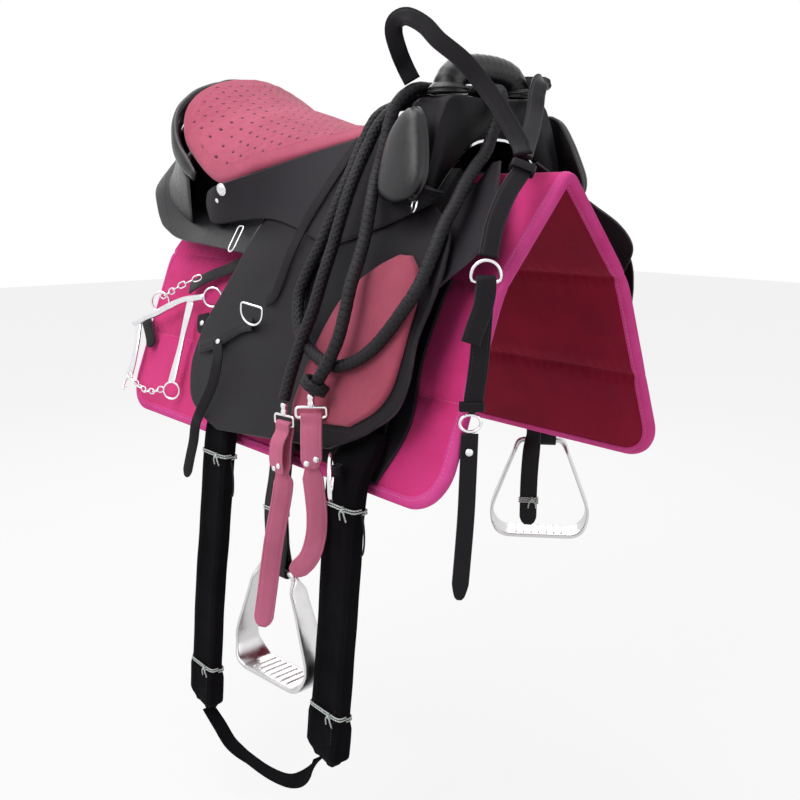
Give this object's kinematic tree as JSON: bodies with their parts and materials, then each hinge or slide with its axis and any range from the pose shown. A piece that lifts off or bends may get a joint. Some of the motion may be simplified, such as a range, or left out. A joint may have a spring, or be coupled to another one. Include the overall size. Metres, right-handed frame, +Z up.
{
  "type": "australian stock saddle",
  "caption": "Stock saddle on a shaped pad, with deep seat, rear-swept cantle, grab handle, flaps, stirrups on leathers, girths, and a bridle, curb bit and rope reins hung on it.",
  "frame": {"origin": "underside of the pad at its ridge, half way along the pad, where it lies along the middle of the horse's back", "axes": "+X towards the horse's head, +Y towards its near (left) side, +Z up; the off (right) side, seen in the picture, is -Y"},
  "size_m": [0.8309, 0.5681, 1.03],
  "materials": {
    "pad_fabric": "hot pink canvas outside, dark crimson inside, quilted",
    "pink_suede": "pink suede, dotted with rows of small stitches on the seat",
    "black_leather": "smooth black bridle leather, slightly glossy",
    "matte_leather": "black saddle leather, matte",
    "pink_leather": "pink leather, satin",
    "panel_serge": "dark wool serge, stuffed",
    "seat_foam": "closed cell foam",
    "tree_plastic": "moulded, matte",
    "bright_steel": "polished, plated",
    "stirrup_aluminium": "brushed bright edges, dark outer face",
    "black_webbing": "folded black webbing",
    "black_rope": "braided black cord"
  },
  "bodies": {
    "saddle": {"bit_hanger": "black_leather", "bridle_keeper": "black_leather", "brow_strap": "black_leather", "cantle_back": "black_leather", "cantle_roll": "black_leather", "cheek_dee": "bright_steel", "cheek_strap_upper": "black_leather", "concho_left": "bright_steel", "concho_right": "bright_steel", "crown_strap": "black_leather", "flap_left": "black_leather", "flap_right": "black_leather", "flap_suede_left": "pink_suede", "flap_suede_right": "pink_suede", "front_skirt_left": "matte_leather", "front_skirt_right": "matte_leather", "grab_handle": "black_leather", "gullet_plate": "bright_steel", "knee_pad_left": "black_leather", "knee_pad_right": "black_leather", "lead_dee": "bright_steel", "lead_strap": "black_leather", "lead_tail": "black_leather", "panel_left": "panel_serge", "panel_right": "panel_serge", "pommel": "black_leather", "rear_skirt": "black_leather", "rein_knot": "black_rope", "rein_rope": "black_rope", "rein_snap_front": "bright_steel", "rein_snap_rear": "bright_steel", "saddle_pad": "pad_fabric", "seat_cover": "pink_suede", "seat_foam": "seat_foam", "seat_skirt_left": "matte_leather", "seat_skirt_right": "matte_leather", "stirrup_bar_left": "bright_steel", "stirrup_bar_right": "bright_steel", "sweat_flap_left": "matte_leather", "sweat_flap_right": "matte_leather", "tree": "tree_plastic"},
    "leather_right": {"stirrup_leather_right": "black_leather"},
    "stirrup_right": {"stirrup_right": "stirrup_aluminium"},
    "leather_left": {"stirrup_leather_left": "black_leather", "leather_tail_left": "black_leather"},
    "stirrup_left": {"stirrup_left": "stirrup_aluminium"},
    "girth_set": {"girth_front": "black_webbing", "girth_rear": "black_webbing", "girth_connector": "black_webbing", "girth_chape": "black_leather", "girth_ring": "bright_steel"},
    "cheek_lower": {"cheek_strap_lower": "black_leather", "cheek_ring": "bright_steel"},
    "bridle_end": {"bridle_end_strap": "black_leather"},
    "rein_end_rear": {"rein_strap_rear": "pink_leather"},
    "rein_end_front": {"rein_strap_front": "pink_leather"},
    "bit": {"bit": "bright_steel", "curb_chain": "bright_steel", "hobble_chain": "bright_steel", "bit_tab": "black_leather"}
  },
  "joints": [
    {"name": "leather_right_swing", "type": "hinge", "parent": "saddle", "child": "leather_right", "pos_m": [0.108, -0.1269, -0.0653], "axis": [0, -0.7659, 0.6429], "range_deg": [-4, 0.5]},
    {"name": "stirrup_right_swing", "type": "hinge", "parent": "leather_right", "child": "stirrup_right", "pos_m": [0.108, -0.223, -0.492], "axis": [0.9945, 0.1045, 0], "range_deg": [-20, 20]},
    {"name": "leather_left_swing", "type": "hinge", "parent": "saddle", "child": "leather_left", "pos_m": [0.152, 0.1269, -0.0653], "axis": [0, 0.7659, 0.6429], "range_deg": [-4.5, 4.5]},
    {"name": "stirrup_left_swing", "type": "hinge", "parent": "leather_left", "child": "stirrup_left", "pos_m": [0.152, 0.2265, -0.379], "axis": [0.7193, 0.6947, 0], "range_deg": [-20, 20]},
    {"name": "girth_swing", "type": "hinge", "parent": "saddle", "child": "girth_set", "pos_m": [0.19, -0.2165, -0.33], "axis": [1, 0, 0], "range_deg": [0, 15]},
    {"name": "cheek_swing", "type": "hinge", "parent": "saddle", "child": "cheek_lower", "pos_m": [0.412, -0.148, -0.1005], "axis": [-0.6292, -0.7772, 0], "range_deg": [0, 30]},
    {"name": "bridle_end_swing", "type": "hinge", "parent": "cheek_lower", "child": "bridle_end", "pos_m": [0.4029, -0.1593, -0.2615], "axis": [-0.6292, -0.7772, 0], "range_deg": [0, 30]},
    {"name": "rein_end_rear_swing", "type": "hinge", "parent": "saddle", "child": "rein_end_rear", "pos_m": [0.1586, -0.2391, -0.2863], "axis": [-0.9945, -0.105, 0], "range_deg": [0, 25]},
    {"name": "rein_end_front_swing", "type": "hinge", "parent": "saddle", "child": "rein_end_front", "pos_m": [0.2197, -0.2407, -0.2659], "axis": [-0.6292, -0.7772, 0], "range_deg": [0, 25]},
    {"name": "bit_swing", "type": "hinge", "parent": "saddle", "child": "bit", "pos_m": [-0.21, -0.1372, -0.1328], "axis": [-1, 0, 0], "range_deg": [0, 20]}
  ]
}
